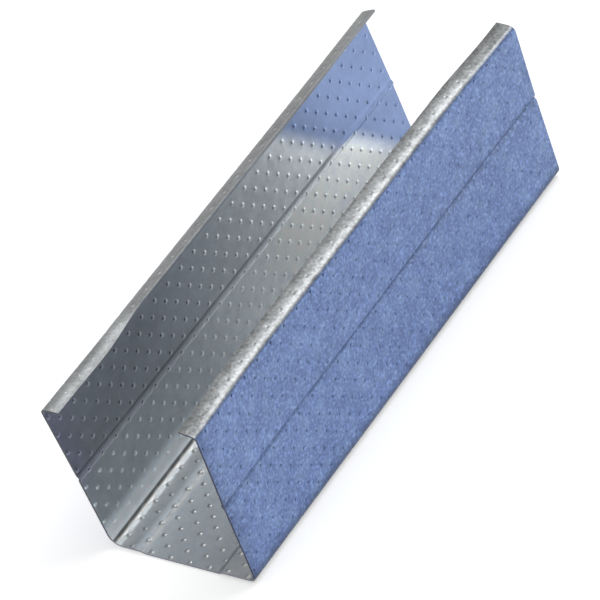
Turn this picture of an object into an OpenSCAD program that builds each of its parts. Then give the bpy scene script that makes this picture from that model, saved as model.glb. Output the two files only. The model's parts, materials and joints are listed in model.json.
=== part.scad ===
// Drywall metal stud: a short length of cold-formed C-section for partition framing.
// One strip of zinc-coated steel is roll-formed into a web, two flanges with a stiffening
// groove each, and two return lips. It lies on its web with the open side up.
// Axes: X across the web, Y along the stud, Z up. Origin: middle of the web's underside.

/* [Stud] */
// Width over the web, from corner to corner
web_w = 46.8; // [44:0.1:100]
// Height of the taller flange, on the right, from the web's edge band to the lip
tall_flange_h = 51.9; // [45:0.1:60]
// Height of the shorter flange, on the left, which nests inside a taller one
short_flange_h = 48.5; // [45:0.1:60]
// Length of the piece
length = 152; // [50:1:3000]
// Thickness of the steel strip with its zinc
sheet_t = 0.6; // [0.5:0.05:0.8]

/* [Bends] */
// Inside radius of the corners between the web and the flanges
corner_r = 1.8; // [0.8:0.1:2.4]
// Inside radius of the bends between the flanges and the lips
lip_bend_r = 1.4; // [0.6:0.1:2]
// Inside radius of the small bends at the web's steps and the flanges' grooves
crease_r = 0.4; // [0.3:0.05:0.5]
// Largest angle that one flat facet of a bend turns through, in degrees
bend_facet = 9; // [5:1:15]

/* [Web] */
// Width of the web's middle, which is pressed outward
web_middle_w = 23.4; // [16:0.2:26]
// How far the web's middle lies off centre, toward the shorter flange
web_middle_offset = 0.9; // [0:0.1:2]
// How far the web's middle is pressed outward from its two edge bands
web_step_h = 0.5; // [0.4:0.05:0.8]
// Slope of the steps beside the web's middle, in degrees
web_step_slope = 20; // [15:1:35]

/* [Flanges] */
// Outward lean of each flange's lower half, as it springs back, in degrees
lower_lean = 1.2; // [0:0.1:3]
// Outward lean of each flange's upper half, in degrees
upper_lean = 2.4; // [0:0.1:5]
// Distance from the top of the lip down to the middle of the flange's groove
groove_below_lip = 24.5; // [18:0.1:28]
// Depth of the V-groove that is pressed into each flange from outside
groove_depth = 0.45; // [0.45:0.05:0.7]
// Slope of the groove's two sides, in degrees
groove_slope = 30; // [25:1:40]

/* [Lips] */
// Overall width of a lip, from the flange's outer face to the strip's edge
lip_w = 5.4; // [4:0.1:8]
// How far the lips stand open past square, in degrees
lip_open = 15; // [0:0.5:18]

/* [Snipped corner] */
// Length, along the stud, of the corner snipped off the left lip at the near end
snip_len = 4; // [1:0.5:8]
// Width of that snipped corner, across the lip
snip_w = 1.4; // [0.5:0.1:2]

/* [Hidden] */

crease_mid_r = crease_r + sheet_t / 2;
step_flat = (web_step_h - 2 * crease_mid_r * (1 - cos(web_step_slope))) / sin(web_step_slope);
step_run = 2 * crease_mid_r * sin(web_step_slope) + step_flat * cos(web_step_slope);
groove_flat = (groove_depth - 2 * crease_mid_r * (1 - cos(groove_slope))) / sin(groove_slope);
groove_run = 2 * crease_mid_r * sin(groove_slope) + groove_flat * cos(groove_slope);
corner_bend = 90 - lower_lean;
corner_reach = (corner_r + sheet_t) * tan(corner_bend / 2);
lip_bend = 90 + upper_lean - lip_open;
lip_reach = (lip_bend_r + sheet_t) * tan(lip_bend / 2);

// Half of the strip, followed along its middle line from the centre of the web to the edge of
// the lip, as [flat length, bend after it in degrees, inside radius]. A bend that turns the
// strip up or inward is positive.
function half_strip(flange_h, half_middle) = [
    [half_middle, web_step_slope, crease_r],
    [step_flat, -web_step_slope, crease_r],
    [web_w / 2 - half_middle - step_run - corner_reach, corner_bend, corner_r],
    [flange_h - groove_below_lip - corner_reach - groove_run, groove_slope, crease_r],
    [groove_flat, -2 * groove_slope, crease_r],
    [groove_flat, groove_slope - upper_lean + lower_lean, crease_r],
    [groove_below_lip - groove_run - lip_reach, lip_bend, lip_bend_r],
    [lip_w - lip_reach, 0, 0]
];

function along(angle) = [cos(angle), sin(angle)];
function across(angle) = [-sin(angle), cos(angle)];

// Direction of element i's flat, the way round a bend, and the end of element i's flat
function heading(strip, i) = i == 0 ? 0 : heading(strip, i - 1) + strip[i - 1][1];
function round_bend(angle, bend, r) =
    sign(bend) * (r + sheet_t / 2) * (across(angle) - across(angle + bend));
function flat_end(strip, i) =
    strip[i][0] * along(heading(strip, i)) + (i == 0 ? [0, sheet_t / 2] :
        flat_end(strip, i - 1) + round_bend(heading(strip, i - 1), strip[i - 1][1], strip[i - 1][2]));

// One face of the half strip, as points: side is -1 for the outer face and 1 for the inner
function face(strip, side) = [
    for (i = [0 : len(strip) - 1])
        let (bend = strip[i][1], facets = ceil(abs(bend) / bend_facet))
            for (k = [0 : facets])
                let (turned = facets == 0 ? 0 : bend * k / facets, angle = heading(strip, i) + turned)
                    flat_end(strip, i) + round_bend(heading(strip, i), turned, strip[i][2])
                        + side * sheet_t / 2 * across(angle)
];

right_strip = half_strip(tall_flange_h, web_middle_w / 2 - web_middle_offset);
left_strip = half_strip(short_flange_h, web_middle_w / 2 + web_middle_offset);

function reversed(points) = [for (i = [len(points) - 1 : -1 : 0]) points[i]];
function outline(strip) = concat(face(strip, -1), reversed(face(strip, 1)));

function mirrored(point) = [-point[0], point[1]];

module section() {
    polygon(concat(outline(right_strip), [for (p = reversed(outline(left_strip))) mirrored(p)]));
}

// A wedge along the line from the end of the left lip to its edge, a little larger all round
module snipped_corner() {
    lip_edge = mirrored(flat_end(left_strip, len(left_strip) - 1));
    beyond = 0.25;
    translate([lip_edge[0], -length / 2, lip_edge[1] - 2 * sheet_t])
        linear_extrude(4 * sheet_t)
            polygon([
                [-snip_w * (1 + beyond), -snip_len * beyond],
                [snip_w, -snip_len * beyond],
                [snip_w * beyond, snip_len * (1 + beyond)]
            ]);
}

module stud() {
    color("lightsteelblue")
        difference() {
            rotate([90, 0, 0])
                linear_extrude(length, center = true)
                    section();
            snipped_corner();
        }
}

stud();
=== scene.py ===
import json
import math

import bpy
import numpy as np
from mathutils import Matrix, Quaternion, Vector

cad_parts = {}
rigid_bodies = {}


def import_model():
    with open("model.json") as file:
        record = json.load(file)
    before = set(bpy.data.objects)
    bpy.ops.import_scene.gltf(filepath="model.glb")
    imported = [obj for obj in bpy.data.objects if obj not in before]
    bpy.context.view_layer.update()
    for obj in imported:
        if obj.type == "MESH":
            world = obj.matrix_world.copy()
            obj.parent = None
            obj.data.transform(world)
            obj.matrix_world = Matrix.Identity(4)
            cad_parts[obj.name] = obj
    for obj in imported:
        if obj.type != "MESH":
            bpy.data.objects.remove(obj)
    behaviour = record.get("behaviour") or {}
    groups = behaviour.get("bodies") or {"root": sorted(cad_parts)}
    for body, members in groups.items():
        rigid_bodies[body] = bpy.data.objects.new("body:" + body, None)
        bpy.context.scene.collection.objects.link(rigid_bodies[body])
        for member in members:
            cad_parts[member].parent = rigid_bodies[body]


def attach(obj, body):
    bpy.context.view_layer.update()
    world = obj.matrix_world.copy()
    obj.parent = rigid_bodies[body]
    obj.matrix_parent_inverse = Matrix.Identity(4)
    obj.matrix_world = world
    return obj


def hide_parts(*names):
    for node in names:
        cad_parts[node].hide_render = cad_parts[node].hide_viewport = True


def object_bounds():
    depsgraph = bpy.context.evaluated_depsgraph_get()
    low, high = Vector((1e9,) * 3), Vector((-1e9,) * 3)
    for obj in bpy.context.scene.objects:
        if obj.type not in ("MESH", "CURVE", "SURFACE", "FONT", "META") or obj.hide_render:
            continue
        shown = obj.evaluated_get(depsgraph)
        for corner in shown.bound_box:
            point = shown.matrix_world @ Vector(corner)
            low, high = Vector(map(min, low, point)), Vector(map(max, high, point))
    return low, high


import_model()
cad_low, cad_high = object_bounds()

MM = 0.001

# The stud's section, as in the part's source
WEB_W = 46.8 * MM
TALL_FLANGE_H = 51.9 * MM
SHORT_FLANGE_H = 48.5 * MM
SHEET_T = 0.6 * MM
CORNER_R = 1.8 * MM
LIP_BEND_R = 1.4 * MM
CREASE_R = 0.4 * MM
WEB_MIDDLE_W = 23.4 * MM
WEB_MIDDLE_OFFSET = 0.9 * MM
WEB_STEP_H = 0.5 * MM
WEB_STEP_SLOPE = 20
LOWER_LEAN = 1.2
UPPER_LEAN = 2.4
GROOVE_BELOW_LIP = 24.5 * MM
GROOVE_DEPTH = 0.45 * MM
GROOVE_SLOPE = 30
LIP_W = 5.4 * MM
LIP_OPEN = 15
LENGTH = cad_high.y - cad_low.y

# What this one piece has beyond that section: softer bends on the left, a wider left lip
# with a snipped corner, and lips that curl down a little toward the strip's edge
SOFT_STEP_R = 3.3 * MM
SOFT_CORNER_R = 3.0 * MM
LEFT_LIP_W = 6.1 * MM
SNIP_LEN = 5 * MM
SNIP_W = 2 * MM
LIP_CURL = 7
LIP_CURL_R = 18 * MM

# The corner and the lip's bend, by their number in the half strip's list of bends
CORNER_BEND = 2
LIP_BEND = 6

# Largest angle that one fold of a bend turns through
FOLD_STEP = 15

# Points this close are one point
WELD = 0.005 * MM

# How far the flanges spring outward at the cut ends, in degrees, and over what length
RIGHT_FLARE = 0.95
LEFT_FLARE = 0.35
FLARE_REACH = 32 * MM

# How the lips turn inward at each of their hinges, which are the second to fourth folds of
# their bend: (degrees, end, length of the full turn, length over which it fades out)
NEAR, FAR = -1, 1
LIP_HINGES = slice(1, 4)
LEFT_LIP_TURNS = ((5.0, NEAR, 20 * MM, 19 * MM), (-1.0, FAR, WELD, 50 * MM))
RIGHT_LIP_TURNS = ((2.4, NEAR, WELD, 16 * MM), (3.5, FAR, 6 * MM, 25 * MM))

# The pressed dimples: a staggered pattern, two to each cell of this pitch across and along
PITCH_ACROSS = 6.2 * MM
PITCH_ALONG = 6.1 * MM
DIMPLE_SIDES = 8
DIMPLE_R = 0.66 * MM
SHOULDER_R = 0.42 * MM
CAP_R = 0.16 * MM
SHOULDER_H = 0.17 * MM
DIMPLE_H = 0.27 * MM
# One dimple's place on the flat strip, across it and along it
DIMPLE_ACROSS = -60.55 * MM
DIMPLE_ALONG = -2.05 * MM

# The rollers press the dimples flat on both sides of the left corner's middle, and down to a
# share of their height on the outer part of the right lip
FLAT_BESIDE_CORNER = 1.7 * MM
PRESSED_LIP_W = 5.1 * MM
PRESSED_SHARE = 0.35

# Edges that turn through less than this many degrees are shaded smooth, and how strongly the
# large flats then draw the shading's normals to themselves
SMOOTH_ANGLE = 50
FLATS_WEIGHT = 60


# ---- Modelling helpers ----

def only(obj):
    """Makes obj the one selected and active object."""
    for other in bpy.context.view_layer.objects:
        other.select_set(False)
    obj.select_set(True)
    bpy.context.view_layer.objects.active = obj
    return obj


def edit_mode(kind="VERT"):
    bpy.ops.object.mode_set(mode="EDIT")
    bpy.ops.mesh.select_mode(type=kind)


def object_mode():
    bpy.ops.object.mode_set(mode="OBJECT")


def vertex_places(obj):
    places = np.zeros(len(obj.data.vertices) * 3)
    obj.data.vertices.foreach_get("co", places)
    return places.reshape(-1, 3)


def select_vertices(obj, chosen):
    """Selects just these vertices, from object mode."""
    mesh = obj.data
    mesh.polygons.foreach_set("select", np.zeros(len(mesh.polygons), bool))
    mesh.edges.foreach_set("select", np.zeros(len(mesh.edges), bool))
    mesh.vertices.foreach_set("select", chosen)


# ---- The flat strip ----

def dimple_cell():
    """A rectangle of sheet with one pressed dimple: an eight-sided cone with a soft shoulder."""
    turn = math.pi / DIMPLE_SIDES
    bpy.ops.mesh.primitive_circle_add(
        vertices=DIMPLE_SIDES, radius=DIMPLE_R, fill_type="NGON", rotation=(0, 0, turn))
    cell = only(bpy.context.active_object)
    bpy.ops.object.transform_apply(rotation=True)
    edit_mode("FACE")
    bpy.ops.mesh.select_all(action="SELECT")
    flat = math.cos(turn)
    bpy.ops.mesh.inset(thickness=(DIMPLE_R - SHOULDER_R) * flat, depth=SHOULDER_H)
    bpy.ops.mesh.inset(thickness=(SHOULDER_R - CAP_R) * flat, depth=DIMPLE_H - SHOULDER_H)
    object_mode()

    # The sheet round the dimple is drawn out from its foot
    places = vertex_places(cell)
    reach = np.hypot(places[:, 0], places[:, 1])
    select_vertices(cell, reach > (DIMPLE_R + SHOULDER_R) / 2)
    edit_mode()
    bpy.ops.mesh.select_mode(type="EDGE")
    bpy.ops.mesh.extrude_edges_indiv()
    bpy.ops.transform.resize(value=(2, 2, 1), center_override=(0, 0, 0))
    object_mode()

    # Its outer points are merged, two and two, into the cell's four corners
    for across in (-1, 1):
        for along in (-1, 1):
            places = vertex_places(cell)
            outer = np.hypot(places[:, 0], places[:, 1]) > 1.5 * DIMPLE_R
            corner = outer & (places[:, 0] * across > 0) & (places[:, 1] * along > 0)
            select_vertices(cell, corner)
            edit_mode()
            bpy.ops.mesh.merge(type="CENTER")
            object_mode()
    places = vertex_places(cell)
    outer = np.hypot(places[:, 0], places[:, 1]) > 1.5 * DIMPLE_R
    corner = abs(places[outer][0][0])
    grow = (PITCH_ACROSS / 4 / corner, PITCH_ALONG / 4 / corner, 1)
    select_vertices(cell, outer)
    edit_mode()
    bpy.ops.transform.resize(value=grow, center_override=(0, 0, 0))
    object_mode()
    return cell


def plain_cell(centre, size):
    """A flat rectangle of sheet between the dimples."""
    bpy.ops.mesh.primitive_plane_add(size=1)
    cell = only(bpy.context.active_object)
    edit_mode()
    bpy.ops.mesh.select_all(action="SELECT")
    bpy.ops.transform.resize(value=(size[0], size[1], 1), center_override=(0, 0, 0))
    bpy.ops.transform.translate(value=(centre[0], centre[1], 0))
    object_mode()
    return cell


def pattern_cell():
    """One cell of the pattern: two dimples and two plain rectangles, like a chess board.
    """
    half = (PITCH_ACROSS / 2, PITCH_ALONG / 2)
    cell = dimple_cell()
    edit_mode("FACE")
    bpy.ops.mesh.select_all(action="SELECT")
    bpy.ops.mesh.duplicate_move(TRANSFORM_OT_translate={"value": (half[0], half[1], 0)})
    object_mode()
    pieces = [cell, plain_cell((half[0], 0), half), plain_cell((0, half[1]), half)]
    for piece in pieces:
        piece.select_set(True)
    bpy.context.view_layer.objects.active = cell
    bpy.ops.object.join()
    edit_mode("FACE")
    bpy.ops.mesh.select_all(action="SELECT")
    bpy.ops.mesh.remove_doubles(threshold=WELD)
    object_mode()
    return cell


def repeat(strip, offset, count):
    """Repeats the mesh in a row and welds it."""
    row = strip.modifiers.new("row", "ARRAY")
    row.use_relative_offset = False
    row.use_constant_offset = True
    row.constant_offset_displace = offset
    row.count = count
    row.use_merge_vertices = True
    row.merge_threshold = WELD
    bpy.ops.object.modifier_apply(modifier=row.name)


def flat_strip(width_left, width_right):
    """The dimpled strip before it is rolled: x across it from the web's middle, y along it."""
    strip = pattern_cell()
    strip.name = "stud_sheet"
    first_across = DIMPLE_ACROSS - PITCH_ACROSS * math.ceil(
        (DIMPLE_ACROSS + width_left) / PITCH_ACROSS + 0.5)
    first_along = DIMPLE_ALONG - PITCH_ALONG * math.ceil(
        (DIMPLE_ALONG + LENGTH / 2) / PITCH_ALONG + 0.5)
    edit_mode("FACE")
    bpy.ops.mesh.select_all(action="SELECT")
    bpy.ops.transform.translate(value=(first_across, first_along, 0))
    object_mode()
    repeat(strip, (PITCH_ACROSS, 0, 0), math.ceil((width_right - first_across) / PITCH_ACROSS) + 1)
    repeat(strip, (0, PITCH_ALONG, 0), math.ceil((LENGTH / 2 - first_along) / PITCH_ALONG) + 1)

    edit_mode("FACE")
    bpy.ops.mesh.select_all(action="SELECT")
    bpy.ops.mesh.remove_doubles(threshold=WELD)
    bpy.ops.mesh.normals_make_consistent(inside=False)
    cuts = (((width_right, 0, 0), (1, 0, 0)), ((-width_left, 0, 0), (-1, 0, 0)),
            ((0, LENGTH / 2, 0), (0, 1, 0)), ((0, -LENGTH / 2, 0), (0, -1, 0)))
    for place, outward in cuts:
        bpy.ops.mesh.select_all(action="SELECT")
        bpy.ops.mesh.bisect(
            plane_co=place, plane_no=outward, clear_outer=True, threshold=WELD)
    object_mode()
    return strip


# ---- The section ----

def web_step(crease_r):
    """The slanted flat between the step's two bends, and how far the whole step runs."""
    mid_r = crease_r + SHEET_T / 2
    slope = math.radians(WEB_STEP_SLOPE)
    flat = (WEB_STEP_H - 2 * mid_r * (1 - math.cos(slope))) / math.sin(slope)
    return flat, 2 * mid_r * math.sin(slope) + flat * math.cos(slope)


def half_strip(flange_h, half_middle, step_r, corner_r, lip_w):
    """Half of the section from the web's middle to the lip's edge, as [flat, bend, inside radius]."""
    crease_mid_r = CREASE_R + SHEET_T / 2
    sharp_run = web_step(CREASE_R)[1]
    step_flat, step_run = web_step(step_r)
    half_middle += (sharp_run - step_run) / 2
    side = math.radians(GROOVE_SLOPE)
    groove_flat = (GROOVE_DEPTH - 2 * crease_mid_r * (1 - math.cos(side))) / math.sin(side)
    groove_run = 2 * crease_mid_r * math.sin(side) + groove_flat * math.cos(side)
    corner_bend = 90 - LOWER_LEAN
    corner_reach = (corner_r + SHEET_T) * math.tan(math.radians(corner_bend / 2))
    lip_bend = 90 + UPPER_LEAN - LIP_OPEN
    lip_reach = (LIP_BEND_R + SHEET_T) * math.tan(math.radians(lip_bend / 2))
    curl_run = (LIP_CURL_R + SHEET_T / 2) * math.radians(LIP_CURL)
    lip_flat = (lip_w - lip_reach - curl_run) / 2
    return [
        [half_middle, WEB_STEP_SLOPE, step_r],
        [step_flat, -WEB_STEP_SLOPE, step_r],
        [WEB_W / 2 - half_middle - step_run - corner_reach, corner_bend, corner_r],
        [flange_h - GROOVE_BELOW_LIP - corner_reach - groove_run, GROOVE_SLOPE, CREASE_R],
        [groove_flat, -2 * GROOVE_SLOPE, CREASE_R],
        [groove_flat, GROOVE_SLOPE - UPPER_LEAN + LOWER_LEAN, CREASE_R],
        [GROOVE_BELOW_LIP - groove_run - lip_reach, lip_bend - LIP_CURL / 2, LIP_BEND_R],
        [lip_flat, LIP_CURL, LIP_CURL_R],
        [lip_flat, 0, 0],
    ]


def fold_lines(half):
    """The half strip's folds, as (place, degrees, number of the bend), and its whole width."""
    lines = []
    place = 0
    for number, (flat, bend, inside_r) in enumerate(half):
        place += flat
        if bend == 0:
            continue
        folds = math.ceil(abs(bend) / FOLD_STEP)
        chord = 2 * (inside_r + SHEET_T / 2) * math.sin(math.radians(abs(bend) / folds / 2))
        for k in range(folds + 1):
            share = 0.5 if k in (0, folds) else 1
            lines.append((place + k * chord, bend / folds * share, number))
        place += folds * chord
    return lines, place


def folds_of(lines, number):
    """The places of the folds that make up one bend."""
    return [place for place, angle, bend in lines if bend == number]


# ---- Rolling the strip to its section ----

def snip_corner(strip, width_left):
    """Rounds the near corner of the left lip, where the shears caught it."""
    only(strip)
    edge, end = -width_left, -LENGTH / 2
    arc = [(math.sin(a), 1 - math.cos(a)) for a in (0, math.pi / 6, math.pi / 3, math.pi / 2)]
    points = [(edge + SNIP_W * (1 - across), end + SNIP_LEN * along) for across, along in arc]
    for (x0, y0), (x1, y1) in zip(points, points[1:]):
        places = vertex_places(strip)
        near = (places[:, 0] < edge + 2 * SNIP_W) & (places[:, 1] < end + 2 * SNIP_LEN)
        select_vertices(strip, near)
        edit_mode()
        bpy.ops.mesh.select_more()
        bpy.ops.mesh.bisect(
            plane_co=(x0, y0, 0), plane_no=(y0 - y1, x1 - x0, 0), clear_outer=True,
            threshold=WELD)
        object_mode()


def crease(strip, lines, side):
    """Scores the flat strip along its fold lines."""
    only(strip)
    edit_mode("FACE")
    for place, angle, bend in lines:
        bpy.ops.mesh.select_all(action="SELECT")
        bpy.ops.mesh.bisect(plane_co=(side * place, 0, 0), plane_no=(1, 0, 0), threshold=WELD)
    object_mode()


def press_down(strip, start, end, share):
    """Presses the dimples between two lines along the strip down to a share of their height."""
    only(strip)
    across = vertex_places(strip)[:, 0]
    select_vertices(strip, (across > start) & (across < end))
    edit_mode()
    bpy.ops.transform.resize(value=(1, 1, share), center_override=(0, 0, 0))
    object_mode()


def record_dimples(strip):
    """Writes where each vertex lies on its dimple: offset across, offset along, and height."""
    places = vertex_places(strip)
    first = np.array((DIMPLE_ACROSS, DIMPLE_ALONG))
    half = np.array((PITCH_ACROSS, PITCH_ALONG)) / 2
    centres = np.round((places[:, :2] - first) / half) * half + first
    on = places[:, 2:] > WELD
    offsets = np.where(on, (places[:, :2] - centres) / DIMPLE_R, 0)
    values = np.hstack([offsets, np.clip(places[:, 2:] / DIMPLE_H, 0, 1)])
    layer = strip.data.attributes.new("dimple", "FLOAT_VECTOR", "POINT")
    layer.data.foreach_set("vector", values.ravel())


def fold(strip, lines, side):
    """Folds the outermost line first, so that each line is still flat on the table."""
    only(strip)
    across = vertex_places(strip)[:, 0].copy()
    for place, angle, bend in reversed(lines):
        select_vertices(strip, across * side > place - WELD)
        edit_mode()
        bpy.ops.transform.rotate(
            value=math.radians(angle) * side, orient_axis="Y", orient_type="GLOBAL",
            center_override=(side * place, 0, 0))
        object_mode()


def turn_end(strip, across, side, line, angle, end, hold, reach):
    """Turns what lies beyond a fold line, at one end of the stud.

    The turn is full over the last hold of the length and fades out over the next reach.
    A positive angle turns it further up or inward, as a bend does.
    """
    only(strip)
    places = vertex_places(strip)
    beyond = across * side > line - WELD
    tip = places[:, 1] * end > LENGTH / 2 - hold - WELD
    hinge = places[(abs(across * side - line) < WELD) & tip].mean(axis=0)
    select_vertices(strip, beyond)
    edit_mode()
    bpy.ops.mesh.hide(unselected=True)
    object_mode()
    select_vertices(strip, beyond & tip)
    edit_mode()
    bpy.ops.transform.rotate(
        value=math.radians(angle) * side, orient_axis="Y", orient_type="GLOBAL",
        center_override=tuple(hinge), use_proportional_edit=True,
        proportional_edit_falloff="SMOOTH", proportional_size=reach)
    bpy.ops.mesh.reveal(select=False)
    object_mode()


def spring_back(strip, across, right_lines, left_lines):
    """Opens the flanges and moves the lips where the cut let the rolled sheet spring."""
    flares = ((1, right_lines, RIGHT_FLARE), (-1, left_lines, LEFT_FLARE))
    for end in (NEAR, FAR):
        for side, lines, flare in flares:
            corner_end = folds_of(lines, CORNER_BEND)[-1]
            turn_end(strip, across, side, corner_end, -flare, end, WELD, FLARE_REACH)
    lips = ((-1, left_lines, LEFT_LIP_TURNS), (1, right_lines, RIGHT_LIP_TURNS))
    for side, lines, turns in lips:
        for line in folds_of(lines, LIP_BEND)[LIP_HINGES]:
            for angle, end, hold, reach in turns:
                turn_end(strip, across, side, line, angle, end, hold, reach)


# The stud's material slots: the channel's inside, its outside, and the sheared ends
INSIDE, OUTSIDE, CUT = 0, 1, 2


def thicken(stud):
    """Gives the rolled sheet its thickness and sets its web on the floor."""
    only(stud)
    wall = stud.modifiers.new("wall", "SOLIDIFY")
    wall.thickness = SHEET_T
    wall.offset = 0
    wall.use_even_offset = False
    wall.use_quality_normals = True
    wall.material_offset = INSIDE - OUTSIDE
    wall.material_offset_rim = CUT - OUTSIDE
    bpy.ops.object.modifier_apply(modifier=wall.name)
    edit_mode()
    bpy.ops.mesh.select_all(action="SELECT")
    bpy.ops.transform.translate(value=(0, 0, SHEET_T / 2))
    object_mode()


def smooth(stud):
    """Rounds the shading of the bends and dimples and keeps the flats flat."""
    only(stud)
    bpy.ops.object.shade_smooth_by_angle(angle=math.radians(SMOOTH_ANGLE))
    flats = stud.modifiers.new("flats", "WEIGHTED_NORMAL")
    flats.weight = FLATS_WEIGHT
    flats.keep_sharp = True
    bpy.ops.object.modifier_apply(modifier=flats.name)


def coat_the_slit_edges(stud):
    """The strip's two long edges were slit before they were coated, so they keep the zinc."""
    mesh = stud.data
    slots = np.zeros(len(mesh.polygons), int)
    normals = np.zeros(len(mesh.polygons) * 3)
    mesh.polygons.foreach_get("material_index", slots)
    mesh.polygons.foreach_get("normal", normals)
    slots[(slots == CUT) & (abs(normals[1::3]) < 0.5)] = INSIDE
    mesh.polygons.foreach_set("material_index", slots)


def rolled_stud():
    """The whole stud, from the flat dimpled strip to its finishes."""
    right = half_strip(
        TALL_FLANGE_H, WEB_MIDDLE_W / 2 - WEB_MIDDLE_OFFSET, CREASE_R, CORNER_R, LIP_W)
    left = half_strip(
        SHORT_FLANGE_H, WEB_MIDDLE_W / 2 + WEB_MIDDLE_OFFSET, SOFT_STEP_R, SOFT_CORNER_R,
        LEFT_LIP_W)
    right_lines, right_width = fold_lines(right)
    left_lines, left_width = fold_lines(left)
    strip = flat_strip(left_width, right_width)
    snip_corner(strip, left_width)
    crease(strip, right_lines, 1)
    crease(strip, left_lines, -1)
    corner_folds = folds_of(left_lines, CORNER_BEND)
    corner = -corner_folds[len(corner_folds) // 2]
    press_down(strip, corner - FLAT_BESIDE_CORNER, corner + FLAT_BESIDE_CORNER, 0)
    press_down(strip, right_width - PRESSED_LIP_W, right_width + WELD, PRESSED_SHARE)
    record_dimples(strip)
    across = vertex_places(strip)[:, 0].copy()
    fold(strip, right_lines, 1)
    fold(strip, left_lines, -1)
    spring_back(strip, across, right_lines, left_lines)
    for finish in (zinc_inside(), zinc_outside(), cut_edge()):
        strip.data.materials.append(finish)
    faces = strip.data.polygons
    faces.foreach_set("material_index", np.full(len(faces), OUTSIDE))
    thicken(strip)
    coat_the_slit_edges(strip)
    smooth(strip)
    return strip


# ---- Nodes ----

class Wire:
    """A node's output that can stand in sums and products; each operator adds a Math node."""

    def __init__(self, finish, socket):
        self.finish = finish
        self.socket = socket

    def __add__(self, other):
        return self.finish.math("ADD", self, other)

    def __sub__(self, other):
        return self.finish.math("SUBTRACT", self, other)

    def __rsub__(self, other):
        return self.finish.math("SUBTRACT", other, self)

    def __mul__(self, other):
        return self.finish.math("MULTIPLY", self, other)

    __radd__ = __add__
    __rmul__ = __mul__


def between(share, a, b):
    """A number that is a where share is 0 and b where it is 1."""
    return a + share * (b - a)


class Finish:
    """The nodes of a material or of the world, with one method for any node."""

    def __init__(self, owner):
        self.owner = owner
        owner.use_nodes = True
        self.tree = owner.node_tree
        self.tree.nodes.clear()

    def node(self, kind, settings=None, inputs=None, output=0):
        """Adds a node: its settings first, then the values or wires of its sockets.

        It gives the wire of one output, or a list of wires where output is a tuple.
        """
        made = self.tree.nodes.new("ShaderNode" + kind)
        for name, value in (settings or {}).items():
            setattr(made, name, value)
        for name, value in (inputs or {}).items():
            if isinstance(value, Wire):
                self.tree.links.new(value.socket, made.inputs[name])
            else:
                made.inputs[name].default_value = value
        if isinstance(output, tuple):
            return [Wire(self, made.outputs[name]) for name in output]
        return Wire(self, made.outputs[output]) if made.outputs else None

    def math(self, operation, a, b=0.0):
        return self.node("Math", {"operation": operation}, {0: a, 1: b})

    def step(self, value, start, end):
        """Rises smoothly from 0 to 1 as value goes from start to end."""
        return self.node(
            "MapRange", {"interpolation_type": "SMOOTHSTEP"},
            {"Value": value, "From Min": start, "From Max": end})

    def fade(self, value, start, end):
        """Falls smoothly from 1 to 0 as value goes from start to end."""
        return 1 - self.step(value, start, end)

    def band(self, value, rise, full, fall, end):
        """Rises smoothly from rise to full, and falls again from fall to end."""
        return self.step(value, rise, full) * self.fade(value, fall, end)

    def blend(self, share, a, b):
        """Mixes two colours: a where share is 0 and b where it is 1."""
        return self.node(
            "Mix", {"data_type": "RGBA"},
            {"Factor": share, 6: a, 7: b}, output=2)

    def scale(self, colour, level):
        """A colour at this level of brightness."""
        if not isinstance(colour, Wire):
            colour = colour[:3]
        return self.node("VectorMath", {"operation": "SCALE"}, {0: colour, "Scale": level})

    def split(self, vector):
        return self.node("SeparateXYZ", None, {0: vector}, output=("X", "Y", "Z"))

    def seen_rays(self):
        """1 for what the camera sees straight, in a reflection or through glass."""
        rays = ("Is Camera Ray", "Is Glossy Ray", "Is Transmission Ray")
        straight, mirrored, through = self.node("LightPath", output=rays)
        return self.math("MAXIMUM", self.math("MAXIMUM", straight, mirrored), through)


class StudFinish(Finish):
    """A finish of the stud, with the wires that say where a point lies on it."""

    def __init__(self, name):
        super().__init__(bpy.data.materials.new(name))
        self.place = self.node("TexCoord", output="Object")
        self.x, self.y, self.z = self.split(self.place)
        self.from_near = self.y + LENGTH / 2
        self.right = self.step(self.x, -1 * MM, 1 * MM)
        self.left = 1 - self.right

    def dimple(self):
        """The offset across and along a dimple and the height on it, each from 0 at its foot."""
        return self.split(self.node(
            "Attribute", {"attribute_name": "dimple"}, output="Vector"))

    def grain(self, size, stretch=(1, 1, 1), detail=2.0):
        """Soft noise from 0 to 1 whose patches are about size metres across."""
        scaled = self.node(
            "Mapping", None, {"Vector": self.place, "Scale": [s / size for s in stretch]})
        return self.node("TexNoise", None, {"Vector": scaled, "Scale": 1.0, "Detail": detail})

    def surface(self, colour, metallic, roughness, bumps=None, strength=0.0):
        """Joins up the material, with the bumps' noise pressed in at this strength."""
        inputs = {"Base Color": colour, "Metallic": metallic, "Roughness": roughness}
        if bumps is not None:
            inputs["Normal"] = self.node(
                "Bump", None, {"Strength": strength, "Distance": 0.03 * MM, "Height": bumps})
        shader = self.node("BsdfPrincipled", None, inputs)
        self.node("OutputMaterial", None, {"Surface": shader})
        return self.owner


# ---- The stud's finishes ----

def grey(value):
    return (value, value, value, 1)


ZINC_TINT = (0.98, 1.0, 1.0, 1)
WALL_TINT = (0.94, 1.0, 1.065, 1)
NEAR_TINT = (0.895, 1.0, 1.105, 1)
END_TINT = (0.80, 0.82, 1.15, 1)
LIP_TINT = (0.965, 1.0, 1.02, 1)
EDGE_TINT = (0.93, 0.97, 1.1, 1)
# Painted blue reflection on the right flange's cut end
BLUE_EDGE_TINT = (0.50, 0.56, 1.0, 1)
DIRT_TINT = (0.17, 0.225, 0.365, 1)
# Painted reflection of blue surroundings, on the flanges and on the left flange's far end
BLUE_TINT = (0.375, 0.53, 0.985, 1)
WASHED_BLUE_TINT = (0.43, 0.60, 0.965, 1)
PALE_BLUE_TINT = (0.45, 0.60, 1.0, 1)

# Painted light: the bare zinc's brightness on the web, and on the inside of the right flange
WEB_LEVEL = 0.36
RIGHT_WALL_LEVEL = 0.64

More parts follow.
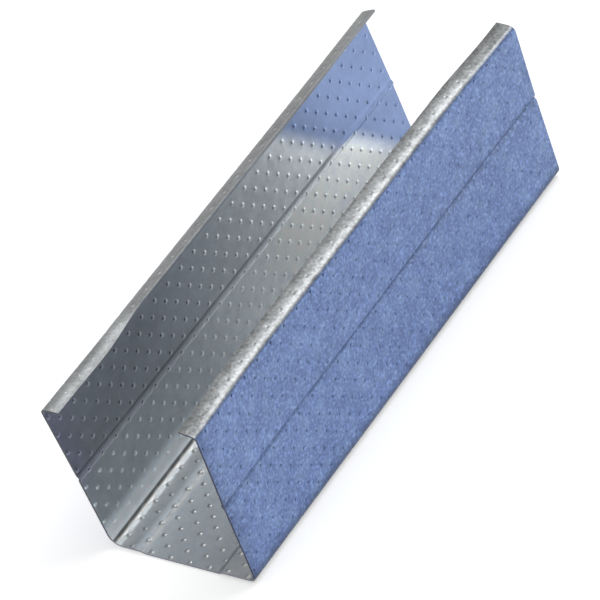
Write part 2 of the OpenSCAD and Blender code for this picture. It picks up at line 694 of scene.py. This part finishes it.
# Heights over the floor: the left groove, the left lip, and how much higher the right ones are
LEFT_GROOVE_Z = SHORT_FLANGE_H + WEB_STEP_H - GROOVE_BELOW_LIP
LEFT_LIP_Z = SHORT_FLANGE_H + WEB_STEP_H
RIGHT_HIGHER = TALL_FLANGE_H - SHORT_FLANGE_H


def corner_marks(finish):
    """Masks beside the left corner: painted highlight on the bend, painted shade in it, painted glow
    at the foot above, painted shade on the band beside.
    """
    round_bend = finish.z + finish.math("ABSOLUTE", finish.x) - WEB_W / 2
    # Painted highlight along the bend
    shine = finish.band(round_bend, -2.5 * MM, -1.6 * MM, -1.5 * MM, -0.6 * MM) * finish.left
    # Painted shade in the bend
    corner_shade = finish.band(round_bend, -0.9 * MM, 0.3 * MM, 0.8 * MM, 1.7 * MM)
    # Painted glow at the foot of the left wall
    foot = finish.step(round_bend, 0.9 * MM, 1.9 * MM)
    glow = foot * finish.fade(finish.z, 4.5 * MM, 9.5 * MM) * finish.left
    # Painted shade on the web's band beside the corner
    band_shade = finish.fade(finish.x, -16.5 * MM, -15 * MM)
    band_shade = band_shade * finish.fade(round_bend, -2.8 * MM, -1.8 * MM)
    return shine, corner_shade, glow, band_shade


def ledge(finish, over_groove):
    """The ledge that each groove makes on the inside, just above its middle, where painted shade
    falls on the zinc and a slight painted highlight on the blue.
    """
    return finish.band(over_groove, -0.05 * MM, 0.75 * MM, 1.15 * MM, 1.8 * MM)


def blue_reach(finish):
    """Where the inside of the left flange carries the painted blue reflection: its far end, and more
    of it near the top.
    """
    above = finish.step(finish.z, 24.2 * MM, 25.2 * MM)
    reach = finish.from_near + finish.z * 0.83 + above * (6 * MM)
    start = LENGTH - 6 * MM
    return finish.step(reach, start, start + 9 * MM) * finish.fade(finish.x, -22 * MM, -19 * MM)


def inside_level(finish, wall, far, lower):
    """How bright the zinc is on the channel's three walls and along the left lip's edge, set as
    painted light.
    """
    # Painted light: the left flange brighter toward the far end and low down
    left_wall = 0.50 + far * 0.35 + lower * (0.10 + far * 0.07)
    # Painted highlight along the left lip's edge, fading toward the far end
    slit = finish.step(finish.x, -20.4 * MM, -20 * MM) * finish.step(finish.z, 44 * MM, 46 * MM)
    slit_level = 0.5 - finish.step(finish.from_near, 86 * MM, 126 * MM) * 0.25
    left_wall = between(slit, left_wall, slit_level)
    wall_level = between(finish.left, RIGHT_WALL_LEVEL, left_wall)
    return between(wall, WEB_LEVEL, wall_level)


def inside_glint(finish, wall, far, lower, slope, blue):
    """Painted light and shade on each dimple: how much brighter it is than the zinc round it, on its
    two sides and its top.
    """
    across, along, height = finish.dimple()
    # Painted light on one side of each dimple and painted shade on the other
    side_light = across * 0.8 + along * 0.6
    shaded = finish.math("MINIMUM", side_light, 0.0)
    side_light = side_light + shaded * finish.left * wall * (1 - lower - far) * 0.25
    glint = side_light * (0.3 + wall * (1.15 - lower * (0.65 + far * 0.45))) * (1 - blue * 0.9)
    glint = glint + finish.math("MAXIMUM", across, across * 0.25) * blue * 1.2
    # Painted highlights on the dimples' tops, fewer toward the far end
    glint_fade = 1 - finish.step(finish.from_near, 101 * MM, 136 * MM) * 0.7
    raised = wall * (far * (0.6 - lower * 0.65) * glint_fade + lower * (1 - far) * 0.5)
    return glint + height * (raised - 0.08 + wall * 0.1 + slope * 1.5)


def zinc_inside():
    """Bare zinc in the channel, with painted light and shade, and a painted blue reflection at the
    far end of the left flange.
    """
    finish = StudFinish("zinc_inside")
    z, left = finish.z, finish.left
    fine = finish.grain(0.8 * MM)
    clouds = finish.grain(3.0 * MM)
    drift = finish.grain(12 * MM, stretch=(1, 0.35, 1), detail=1.0)
    wall = finish.step(z, 1.5 * MM, 3.5 * MM)
    far = finish.step(finish.from_near, 28 * MM, 98 * MM)
    lower = finish.fade(z, 23.5 * MM, 24.7 * MM)
    slope = finish.step(z, 23.2 * MM, 23.5 * MM) * lower
    over_groove = z - (LEFT_GROOVE_Z + (1 - left) * RIGHT_HIGHER)
    crest = finish.math("ABSOLUTE", over_groove - 0.3 * MM)
    crest = finish.fade(crest, 0.15 * MM, 0.45 * MM)
    shine, corner_shade, glow, band_shade = corner_marks(finish)
    # Painted blue reflection at the far end of the left flange
    blue = blue_reach(finish)
    # Painted shade along the ledge over each groove, which also roughens it
    ledge_shade = ledge(finish, over_groove) * (1 - blue) * 0.62

    # Painted shade on the web's band beside the left corner
    level = inside_level(finish, wall, far, lower) * (1 - band_shade * 0.26)
    # Painted highlight on the groove's crest, painted shade on its lower slope
    level = level * (1 + crest * 0.25) * (1 - slope * (0.24 - far * 0.12))
    # Painted highlight and painted shade at the left corner, and its painted glow
    level = level * (1 + shine * 0.38) * (1 - corner_shade * 0.74)
    level = between(glow, level, 1.1)
    mottle = (fine - 0.5) * 0.22 + (clouds - 0.5) * 0.34 + (drift - 0.5) * 0.30
    mottle = 1 + mottle * (0.75 + wall * 0.25 + shine * 1.5)
    # The dimples' painted light and shade
    glint = inside_glint(finish, wall, far, lower, slope, blue)
    mottle = mottle * finish.math("MAXIMUM", 1 + glint, 0.3) * (1 - ledge_shade)

    near_end = finish.fade(finish.from_near, 0.5 * MM, 10 * MM) * finish.step(z, 12 * MM, 30 * MM)
    violet = near_end * 0.6 + (1 - far) * (1 - lower) * 0.2
    tint = finish.blend(wall * left, ZINC_TINT, finish.blend(far, NEAR_TINT, WALL_TINT))
    tint = finish.blend(violet * left, tint, END_TINT)
    zinc = finish.scale(tint, level * mottle)
    # A slight painted highlight on the blue just over the ledge
    blue_level = 0.5 + ledge(finish, over_groove - 0.4 * MM) * 0.06
    blue_reflection = finish.scale(PALE_BLUE_TINT, mottle * blue_level)
    return finish.surface(
        finish.blend(blue, zinc, blue_reflection), 1 - glow * 0.45, 0.28 + clouds * 0.14 + ledge_shade * 0.3,
        bumps=fine, strength=0.2)


def lip_zinc(finish, fine, clouds, height):
    """Bare zinc on the lips and under the web, with painted light: brighter on the left lip near its
    near end, toward the right lip's bend, on the dimples' tops and along the left lip's edge.
    """
    x, right = finish.x, finish.right
    streaks = finish.grain(2.2 * MM, stretch=(1, 0.3, 1))
    near = finish.fade(finish.from_near, 26 * MM, 38 * MM)
    mottle = 1 + (fine - 0.5) * (0.7 + right * 0.5) + (clouds - 0.5) * (0.6 + right * 0.4)
    mottle = mottle + (streaks - 0.5) * 0.4
    # Painted highlight toward the right lip's bend, and on the left lip near its near end
    right_level = 0.18 + finish.step(x, 21.3 * MM, 23.2 * MM) * 0.12
    left_level = 0.22 + near * (0.11 + finish.step(x, -22.8 * MM, -20 * MM) * 0.30)
    level = between(right, left_level, right_level)
    # Painted highlights on the dimples' tops
    level = level * mottle * (1 + height * (1.3 - near * 0.8 - right * 1.1))
    # Painted highlight along the left lip's edge
    edge = finish.step(x, -20.1 * MM, -19.6 * MM) * finish.step(finish.z, 40 * MM, 44 * MM)
    level = level * (1 + edge * finish.left * (0.3 - near * 0.4))
    return finish.scale(LIP_TINT, level)


def flange_blue_reflection(finish, fine, clouds, specks, dimple):
    """Zinc with a painted blue reflection: speckled, painted light and shade in the dimples, painted
    shade along the groove and at the foot, with rubbing below the groove.
    """
    across, along, height = dimple
    drift = finish.grain(9.0 * MM, detail=1.0)
    groove = LEFT_GROOVE_Z - 0.1 * MM + finish.right * RIGHT_HIGHER + finish.y * 0.003
    over_groove = finish.z - groove
    far = finish.step(finish.from_near, 46 * MM, 116 * MM)
    # Painted shade along the groove's line, and over the band above it toward the far end
    line = finish.fade(finish.math("ABSOLUTE", over_groove), 0.1 * MM, 0.45 * MM)
    shade = finish.band(over_groove, -0.1 * MM, 0.3 * MM, 0.9 * MM, 1.7 * MM)
    # Painted shade at the flange's foot, by the corner
    foot = finish.fade(finish.z, 1.5 * MM, 5.5 * MM)
    # Painted light and shade on the dimples' sides, and darker in their hollows
    pit = (along * 0.5 - across * 0.8) * 0.9 - height * 0.85
    flecks = finish.step(specks, 0.45, 0.8)
    level = 1 + flecks * 0.45 + (specks - 0.5) * 0.7
    level = level + (clouds - 0.5) * 0.5 + (drift - 0.5) * 0.3
    level = level * (1 + pit * (1 - far * 0.5)) * 0.405
    level = level * (1 - line * 0.3) * (1 - shade * far * 0.14) * (1 - foot * 0.55)
    level = level * (0.8 + finish.step(finish.from_near, 0, 5 * MM) * 0.2)
    washed = finish.step(clouds, 0.42, 0.68) * 0.6
    # The blue colour is a painted reflection of blue surroundings
    blue_reflection = finish.scale(finish.blend(washed, BLUE_TINT, WASHED_BLUE_TINT), level)
    rubbing = finish.band(over_groove, -1.6 * MM, -1.0 * MM, -0.3 * MM, 0) * far * finish.right
    grime = finish.scale(DIRT_TINT, 0.8 + flecks * 1.1)
    return finish.blend(rubbing * finish.step(fine, 0.35, 0.6) * 0.7, blue_reflection, grime)


def zinc_outside():
    """Bare zinc under the web and on the lips, a painted blue reflection on both flanges, and a
    painted dark band at the lips' bends.
    """
    finish = StudFinish("zinc_outside")
    dimple = finish.dimple()
    fine = finish.grain(0.8 * MM)
    specks = finish.grain(0.85 * MM, detail=2.5)
    clouds = finish.grain(3.2 * MM)
    over_lip = finish.z - (LEFT_LIP_Z + finish.right * RIGHT_HIGHER)
    flange = finish.step(finish.z, 0.9 * MM, 1.6 * MM)
    flange = flange * finish.fade(over_lip, -0.65 * MM, -0.05 * MM)
    # Painted dark band at the lips' bends, between their highlight and the flanges' blue
    rim = finish.band(over_lip, -1.0 * MM, -0.4 * MM, -0.1 * MM, 0.45 * MM)
    zinc = lip_zinc(finish, fine, clouds, dimple[2])
    blue_reflection = flange_blue_reflection(finish, fine, clouds, specks, dimple)
    # The flanges take the painted blue reflection
    colour = finish.blend(flange, zinc, blue_reflection)
    return finish.surface(
        finish.blend(rim * 0.35, colour, grey(0.0)), 1.0, 0.27 + clouds * 0.10 + flange * 0.08,
        bumps=specks, strength=0.25)


def cut_edge():
    """The sheared ends: brighter along the web, and darker up both flanges, with the painted blue
    reflection on the right flange's end.
    """
    finish = StudFinish("cut_edge")
    burr = finish.grain(0.3 * MM)
    up = finish.step(finish.z, 0.8 * MM, 3 * MM)
    level = (0.26 - up * 0.17) * (0.7 + burr * 0.6)
    # Painted blue reflection on the right flange's end
    blue = up * finish.step(finish.x, 22 * MM, 23 * MM)
    tint = finish.blend(blue, EDGE_TINT, BLUE_EDGE_TINT)
    return finish.surface(finish.scale(tint, level), 1.0, 0.45)


# ---- Stage ----

WORLD_FILL = 0.55
FLOOR_GLOW = 0.4

KEY_DIRECTION = Vector((0.25, 0.515, 0.82))
KEY_DISTANCE = 1.3
KEY_SIZE = (1.0, 0.8)
KEY_POWER = 7

CAMERA_AZIMUTH = 48.70
CAMERA_ELEVATION = 38.70
CAMERA_ROLL = -23.52
CAMERA_AIM = Vector((0.23, -6.01, 26.0)) * MM
CAMERA_DISTANCE = 1018.6 * MM
CAMERA_LENS = 240.47


def pale_floor():
    """A pale finish that the camera sees as white away from the shadow."""
    finish = Finish(bpy.data.materials.new("pale_floor"))
    paint = finish.node("BsdfDiffuse", None, {"Color": grey(0.92)})
    strength = finish.seen_rays() * FLOOR_GLOW
    glow = finish.node("Emission", None, {"Color": grey(1.0), "Strength": strength})
    both = finish.node("AddShader", None, {0: paint, 1: glow})
    finish.node("OutputMaterial", None, {"Surface": both})
    return finish.owner


def floor():
    bpy.ops.mesh.primitive_plane_add(size=12, location=(0, 0, cad_low.z - 0.02 * MM))
    made = only(bpy.context.active_object)
    made.name = "floor"
    bpy.ops.object.transform_apply(location=True)
    made.data.materials.append(pale_floor())


def world():
    """White behind the object and in its reflections, and softer where it lights the scene."""
    sky = bpy.data.worlds.new("studio")
    bpy.context.scene.world = sky
    studio = Finish(sky)
    strength = between(studio.seen_rays(), WORLD_FILL, 1.0)
    back = studio.node("Background", None, {"Color": grey(1.0), "Strength": strength})
    studio.node("OutputWorld", None, {"Surface": back})


def key_light():
    """A large soft lamp that faces the stud's middle."""
    lamp = bpy.data.lights.new("key", "AREA")
    lamp.shape = "RECTANGLE"
    lamp.size, lamp.size_y = KEY_SIZE
    lamp.energy = KEY_POWER
    holder = bpy.data.objects.new("key", lamp)
    bpy.context.scene.collection.objects.link(holder)
    away = KEY_DIRECTION.normalized()
    holder.location = (cad_low + cad_high) / 2 + away * KEY_DISTANCE
    holder.rotation_euler = (-away).to_track_quat("-Z", "Y").to_euler()
    holder.visible_camera = False


def camera():
    azimuth = math.radians(CAMERA_AZIMUTH)
    elevation = math.radians(CAMERA_ELEVATION)
    back = Vector((
        math.sin(azimuth) * math.cos(elevation),
        -math.cos(azimuth) * math.cos(elevation),
        math.sin(elevation)))
    lens = bpy.data.cameras.new("camera")
    lens.lens = CAMERA_LENS
    lens.sensor_width = 36
    lens.clip_start = 0.05
    lens.clip_end = 50
    holder = bpy.data.objects.new("camera", lens)
    bpy.context.scene.collection.objects.link(holder)
    holder.location = CAMERA_AIM + back * CAMERA_DISTANCE
    level = (-back).to_track_quat("-Z", "Y")
    holder.rotation_mode = "QUATERNION"
    holder.rotation_quaternion = level @ Quaternion((0, 0, 1), math.radians(CAMERA_ROLL))
    bpy.context.scene.camera = holder


camera()
floor()
world()
key_light()
bpy.context.scene.view_settings.view_transform = "Standard"

stud = rolled_stud()
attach(stud, "root")
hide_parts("stud")
